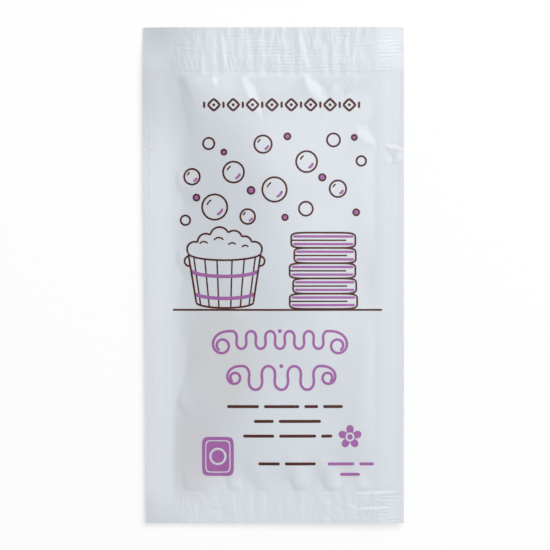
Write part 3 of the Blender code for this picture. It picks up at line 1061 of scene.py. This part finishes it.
def cloud(circles, left, right):
    """The arcs of the upper outline of circles that overlap in a row, from a left to a right end."""
    meetings = [crossing(first, second) for first, second in zip(circles, circles[1:])]
    arcs = []
    for (x, y, radius), start, end in zip(circles, [left] + meetings, meetings + [right]):
        from_angle = np.degrees(np.arctan2(start[1] - y, start[0] - x)) % 360
        to_angle = np.degrees(np.arctan2(end[1] - y, end[0] - x))
        to_angle += 360 * (to_angle < -90)
        arcs.append(circle(x, y, radius, from_angle, to_angle))
    return arcs


rim = tub_round(1.0)
brown_picture += [stroke(arc, order=4) for arc in cloud(FOAM, rim[0], rim[-1])]
brown_picture += [stroke(circle(x, y, radius, *CURL_ARC), THIN_LINE) for x, y, radius in FOAM_CURLS]
print(f"foam: {len(FOAM)} arcs and {len(FOAM_CURLS)} curls")

# %% [markdown]
# A stack of towels
#
# A folded towel seen from its fold is a long box with very round corners. An outline that gives a radius for
# each angle draws it in one formula, and the stack looks laid by hand because no two towels are quite as long
# or quite in line.

# %% The towels
TOWEL_X = 11.4
TOWEL_HEIGHT = 3.5
TOWEL_LENGTHS = (15.6, 14.6, 15.2, 14.2, 14.8)
TOWEL_SHIFTS = (0.0, 0.3, -0.2, 0.4, 0.0)
TOWEL_POWER = 6.0
FOLD_LINE_SHARE = 0.86
STRIPE_SHARE = 0.94
STRIPE_WIDTH = 0.56
STRIPE_PITCH = 1.75


def rounded_box(half_width, half_height, power):
    """A box with round corners as a radius for each angle: (|cos|^n / a^n + |sin|^n / b^n)^(-1/n)."""
    def radius(angle):
        sides = np.abs(np.cos(angle) / half_width) ** power + np.abs(np.sin(angle) / half_height) ** power
        return sides ** (-1 / power)
    return radius


def outline(x, y, radius, points=360):
    """Closed points round a place, at a radius that is a function of the angle."""
    angle = np.linspace(0, 2 * np.pi, points, endpoint=False)
    return np.stack([x + radius(angle) * np.cos(angle), y + radius(angle) * np.sin(angle)], axis=1)


for number, (length, shift) in enumerate(zip(TOWEL_LENGTHS, TOWEL_SHIFTS)):
    middle_x = TOWEL_X + shift
    middle_y = SHELF_Y + LINE / 2 + (number + 0.5) * TOWEL_HEIGHT
    edge = outline(middle_x, middle_y, rounded_box(length / 2, TOWEL_HEIGHT / 2, TOWEL_POWER))
    brown_picture.append(stroke(edge, closed=True, order=number))
    fold_line = bar(middle_x - length / 2, middle_y, FOLD_LINE_SHARE * length, THIN_LINE, order=number)
    brown_picture.append(fold_line)
    for stripe_y in (middle_y - STRIPE_PITCH / 2, middle_y + STRIPE_PITCH / 2):
        stripe_x = middle_x - STRIPE_SHARE / 2 * length
        violet_picture.append(bar(stripe_x, stripe_y, STRIPE_SHARE * length, STRIPE_WIDTH))
print(f"towels: {len(TOWEL_LENGTHS)}, {len(TOWEL_LENGTHS) * TOWEL_HEIGHT:.1f} mm high")

# %% [markdown]
# Bubbles and beads
#
# Soap bubbles are plain circles, and what makes one look round is a short glint at one side and a shade at
# the other. Beads of violet between them fill the picture up to the heading.

# %% The bubbles
BUBBLES = (  # x, y and radius
    (-20.4, 12.6, 1.1),
    (-13.6, 15.6, 2.9),
    (-6.0, 13.4, 1.7),
    (-18.8, 22.6, 1.8),
    (-9.2, 23.6, 2.4),
    (0.2, 19.6, 2.8),
    (7.4, 15.2, 1.6),
    (-14.9, 30.2, 1.3),
    (-2.4, 30.0, 2.0),
    (7.6, 26.0, 2.4),
    (14.8, 19.8, 1.9),
    (13.8, 31.0, 1.5),
    (20.2, 26.2, 1.1),
)
BEADS = (
    (-17.8, 17.8, 0.7),
    (-5.2, 19.4, 0.8),
    (3.2, 31.8, 0.7),
    (11.2, 22.4, 0.75),
    (18.6, 31.6, 0.6),
    (-11.4, 28.2, 0.6),
    (2.6, 13.2, 0.65),
    (19.0, 14.4, 0.7),
)
LARGE_BUBBLE = 1.6
INNER_SHARE = 0.62
GLINT_ARC = (115, 165)
SHADE_ARC = (285, 350)

for x, y, radius in BUBBLES:
    brown_picture.append(stroke(circle(x, y, radius), closed=True))
    if radius > LARGE_BUBBLE:
        brown_picture.append(stroke(circle(x, y, INNER_SHARE * radius, *GLINT_ARC), THIN_LINE))
        violet_picture.append(stroke(circle(x, y, INNER_SHARE * radius, *SHADE_ARC), STRIPE_WIDTH))
for x, y, radius in BEADS:
    violet_picture.append(spot(x, y, radius))
    brown_picture.append(stroke(circle(x, y, radius), closed=True, order=2))

make_print("brown_picture", brown_picture, brown_ink)
make_print("violet_picture", violet_picture, violet_ink)

# %% [markdown]
# Two pen flourishes
#
# A pen that swings its heading as a sine draws the even meander of a slow river. Here the heading is an odd
# function of the distance from the middle, so the right half mirrors the left one, and both ends wind up
# into a spiral. The path is the running sum of the heading's cosine and sine.

# %% The flourishes
PEN = 0.60
FLOURISHES = (  # middle x and y, width and number of swings, which is odd
    (1.3, -15.4, 31.0, 5),
    (1.6, -23.6, 25.0, 3),
)
SWING = 1.66
CURL_SHARE = 0.40
CURL_TURN = 9.0
CURL_POWER = 1.6
FLOURISH_BEAD = 0.45


def flourish(x, y, width, swings):
    """Points of a flourish. The heading is SWING sin(n pi s) up to the last swing, which ends on a crest, and
    past it winds down as a power of the way."""
    place = np.linspace(-1, 1, 1601)
    away = np.abs(place)
    inner = 1 - CURL_SHARE
    swinging = SWING * np.sin(np.pi * swings * place / inner) * (away < inner)
    winding = CURL_TURN * np.clip((away - inner) / CURL_SHARE, 0, 1) ** CURL_POWER * np.sign(place)
    heading = swinging - winding
    path = np.stack([np.cumsum(np.cos(heading)), np.cumsum(np.sin(heading))], axis=1)
    path -= (path.max(axis=0) + path.min(axis=0)) / 2
    return path * width / np.ptp(path[:, 0]) + (x, y)


flourishes = []
for x, y, width, swings in FLOURISHES:
    path = flourish(x, y, width, swings)
    flourishes.append(stroke(path, PEN))
    flourishes.append(spot(x, path[:, 1].max(), FLOURISH_BEAD))
    print(f"a flourish is {np.ptp(path[:, 0]):.1f} x {np.ptp(path[:, 1]):.1f} mm")
make_print("flourishes", flourishes, violet_ink)

# %% [markdown]
# Rules, a badge and a flower
#
# Rounded rules stand where a pack has its lines of small type. The badge and the flower are fields of ink
# between two outlines round a point, each outline a radius for every angle, so a frame or a ring is only a
# gap between two fields.

# %% The rules
RULE = 0.68
RULE_GAP = 1.15
BROWN_RULES = (  # y, left end, and the lengths of the rules with a gap between them
    (-30.2, -11.0, (7.4, 8.2, 3.2, 4.6)),
    (-33.6, -4.8, (4.6, 9.8)),
    (-37.0, -7.3, (7.2, 8.6, 2.6)),
    (-43.4, -3.8, (5.0, 7.2)),
)
VIOLET_RULES = (
    (-43.4, 12.3, (6.2, 3.4)),
    (-45.8, 15.2, (4.6,)),
)


def rules(rows):
    """The bars of rows of rules, one after the other along each row."""
    made = []
    for y, x, lengths in rows:
        for length in lengths:
            made.append(bar(x, y, length, RULE))
            x += length + RULE_GAP
    return made


make_print("brown_rules", rules(BROWN_RULES), brown_ink)

# %% The badge and the flower
BADGE = (-13.2, -41.7)
BADGE_HALF_WIDTH = 3.7
BADGE_HALF_HEIGHT = 4.5
BADGE_POWER = 7.0
FRAME_INSET = 0.75
FRAME_GAP = 0.26
RING = 1.75
RING_GAP = 0.5
POINT = 0.02  # radius of the inner outline of a field that has no hole

FLOWER = (17.5, -37.2)
FLOWER_RADIUS = 2.75
PETALS = 5
PETAL_POWER = 0.4
PETAL_ROOT = 0.12
HEART = 0.62
HEART_GAP = 0.42


def field(x, y, inner, outer, order=0):
    """A field of ink between two outlines round a point: each outline is a radius for each angle."""
    angle = np.linspace(0, 2 * np.pi, 121)[:-1, None]
    share = np.linspace(0, 1, 9)
    radius = (inner(angle) + (outer(angle) - inner(angle)) * share) * MM
    return on_film(x * MM + radius * np.cos(angle), y * MM + radius * np.sin(angle), order, looped=True)


def even(radius):
    """The same radius at every angle."""
    return lambda angle: radius + 0 * angle


def badge_box(inset):
    """The badge's outline, a distance inside its edge."""
    return rounded_box(BADGE_HALF_WIDTH - inset, BADGE_HALF_HEIGHT - inset, BADGE_POWER)


def petals(angle):
    """Five round petals: R |cos(2.5 a)|^0.4, kept over the width of the ring round the heart."""
    petal = FLOWER_RADIUS * np.abs(np.cos(PETALS / 2 * (angle - np.pi / 2))) ** PETAL_POWER
    return np.maximum(petal, HEART + HEART_GAP + PETAL_ROOT)


marks = [
    field(*BADGE, badge_box(FRAME_INSET), badge_box(0.0)),
    field(*BADGE, even(RING + RING_GAP / 2), badge_box(FRAME_INSET + FRAME_GAP)),
    field(*BADGE, even(POINT), even(RING - RING_GAP / 2)),
    field(*FLOWER, even(HEART + HEART_GAP), petals),
    field(*FLOWER, even(POINT), even(HEART)),
]
make_print("violet_marks", marks + rules(VIOLET_RULES), violet_ink)

# %% [markdown]
# White paper to lie on
#
# The pack lies on its back on white paper, which shows only as a white ground and a soft shadow. Paper lit
# like the pack would come out grey, and more light would burn the film out. So the rays from the camera see
# half of the paper's own shade and half of a plain glow, and the light on the pack stays as it is.

# %% The floor
FLOOR_HALF = 1.2
FLOOR_COLOUR = (0.93, 0.93, 0.93, 1.0)
FLOOR_ROUGHNESS = 0.9
FLOOR_GLOW = 1.12
GLOW_SHARE = 0.5


def seen_directly(wire):
    """1 for rays from the camera, a reflection or a clear surface, and 0 for those that light the pack."""
    path = wire.node("ShaderNodeLightPath")
    return path["Is Camera Ray"] + path["Is Glossy Ray"] + path["Is Transmission Ray"]


def floor_material():
    """White paper that the camera sees a little lighter than it is, so that only the shadow tints it."""
    material, shader, paper = new_material("white_paper")
    shader.inputs["Base Color"].default_value = FLOOR_COLOUR
    shader.inputs["Roughness"].default_value = FLOOR_ROUGHNESS
    shader.inputs["Specular IOR Level"].default_value = 0.0
    glow = paper.node("ShaderNodeEmission", Color=WHITE, Strength=FLOOR_GLOW)["Emission"]
    share = GLOW_SHARE * seen_directly(paper)
    mixed = paper.node("ShaderNodeMixShader", _0=share, _1=paper, _2=glow)["Shader"]
    mixed.into(material.node_tree.nodes["Material Output"].inputs["Surface"])
    return material


floor_mesh = bpy.data.meshes.new("floor")
corners = [(x * FLOOR_HALF, y * FLOOR_HALF, 0) for x, y in ((-1, -1), (1, -1), (1, 1), (-1, 1))]
floor_mesh.from_pydata(corners, [], [(0, 1, 2, 3)])
floor_mesh.materials.append(floor_material())
floor = bpy.data.objects.new("floor", floor_mesh)
bpy.context.scene.collection.objects.link(floor)

# %% [markdown]
# Light
#
# Film needs soft light, because a hard lamp gives it one hot spot and black folds. A large softbox from the
# upper right shades the left flanks of the folds, a small one over the head puts the bright glints on the
# creases, and even light from all round keeps the shadows pale.

# %% The lamps and the world
WORLD_LIGHT = 0.35


def world_light():
    """Even light from all round, and plain white where the camera looks past the floor."""
    world = bpy.data.worlds.new("studio")
    world.use_nodes = True
    background = world.node_tree.nodes["Background"]
    background.inputs["Color"].default_value = WHITE
    seen = seen_directly(Wire(background.outputs["Background"]))
    (WORLD_LIGHT + (1 - WORLD_LIGHT) * seen).into(background.inputs["Strength"])
    bpy.context.scene.world = world


def softbox(name, azimuth, elevation, distance, width, height, power):
    """A rectangular lamp that looks at the pack, at an azimuth from +X towards +Y and an elevation."""
    azimuth, elevation = np.radians(azimuth), np.radians(elevation)
    level = np.cos(elevation)
    direction = Vector((np.cos(azimuth) * level, np.sin(azimuth) * level, np.sin(elevation)))
    lamp = bpy.data.lights.new(name, "AREA")
    lamp.shape = "RECTANGLE"
    lamp.size = width
    lamp.size_y = height
    lamp.energy = power
    holder = bpy.data.objects.new(name, lamp)
    holder.location = direction * distance
    holder.rotation_euler = direction.to_track_quat("Z", "Y").to_euler()
    bpy.context.scene.collection.objects.link(holder)
    print(f"{name}: {power:.1f} W, {distance:.1f} m away")


world_light()
softbox("key_softbox", azimuth=42, elevation=62, distance=1.7, width=1.36, height=1.36, power=20.3)
softbox("head_softbox", azimuth=65, elevation=52, distance=1.2, width=0.2, height=0.16, power=1.0)

# %% [markdown]
# The camera
#
# The camera looks straight down, as onto a pack that lies on a table. From three quarters of a metre the pack
# shows its front only, almost without perspective, and the lens follows from the size of one pixel on it.

# %% The camera
PICTURE_PIXELS = 550
PIXEL = 0.2305 * MM
VIEW_CENTRE_X = 0.4 * MM
CAMERA_HEIGHT = 0.75

camera = bpy.data.cameras.new("camera")
camera.sensor_width = 36.0
camera.lens = camera.sensor_width * CAMERA_HEIGHT / (PICTURE_PIXELS * PIXEL)
viewer = bpy.data.objects.new("camera", camera)
viewer.location = (VIEW_CENTRE_X, 0.0, CAMERA_HEIGHT)
bpy.context.scene.collection.objects.link(viewer)
bpy.context.scene.camera = viewer
bpy.context.scene.view_settings.view_transform = "Standard"
print(f"the lens is {camera.lens:.0f} mm")
